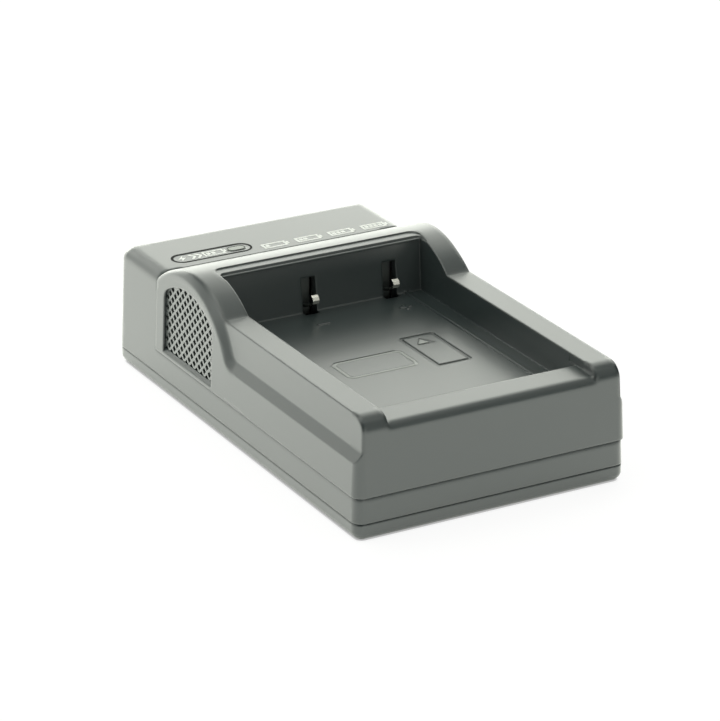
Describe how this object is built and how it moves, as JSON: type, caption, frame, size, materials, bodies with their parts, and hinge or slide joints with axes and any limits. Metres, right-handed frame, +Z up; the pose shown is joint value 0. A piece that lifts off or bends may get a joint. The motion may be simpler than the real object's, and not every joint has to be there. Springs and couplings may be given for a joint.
{
  "type": "camera battery charger",
  "caption": "Slim desktop charger for a camera battery: an open battery bay with arched vented shoulders, sprung contacts, a raised rear deck with a charge light and a rear inlet.",
  "frame": {"origin": "centre of the charger's footprint on the surface it stands on", "axes": "+Y from the low front lip towards the raised rear deck, +X across the bay towards the positive contact, +Z up"},
  "size_m": [0.0562, 0.0981, 0.0279],
  "materials": {
    "cover_plastic": "fine-grained dark grey moulding",
    "housing_plastic": "fine-grained dark grey moulding",
    "cradle_plastic": "fine-grained dark grey moulding",
    "grille_plastic": "fine-grained dark grey moulding",
    "clear_plastic": "frosted clear moulding",
    "lamp_plastic": "pale diffused resin",
    "contact_metal": "plated spring strip",
    "board_laminate": "green lacquered laminate",
    "screw_steel": "zinc plated",
    "chip_resin": "black moulding resin",
    "tinned_metal": "tinned sheet",
    "ferrite": "dark pressed ferrite",
    "chip_ceramic": "fired ceramic",
    "tongue_plastic": "black moulding resin"
  },
  "bodies": {
    "root": {"bottom_cover": "cover_plastic", "base_housing": "housing_plastic", "cradle": "cradle_plastic", "vent_grille_left": "grille_plastic", "vent_grille_right": "grille_plastic", "light_pipe": "clear_plastic", "charge_lamp": "lamp_plastic", "contact_negative": "contact_metal", "contact_positive": "contact_metal", "circuit_board": "board_laminate", "cover_screws": "screw_steel", "charge_controller": "chip_resin", "controller_leads": "tinned_metal", "power_inductor": "ferrite", "output_capacitor": "chip_resin", "chip_capacitors": "chip_ceramic", "chip_resistors": "chip_resin", "input_diode": "chip_resin", "inlet_shell": "tinned_metal", "inlet_tongue": "tongue_plastic", "inlet_strips": "contact_metal"}
  },
  "joints": []
}
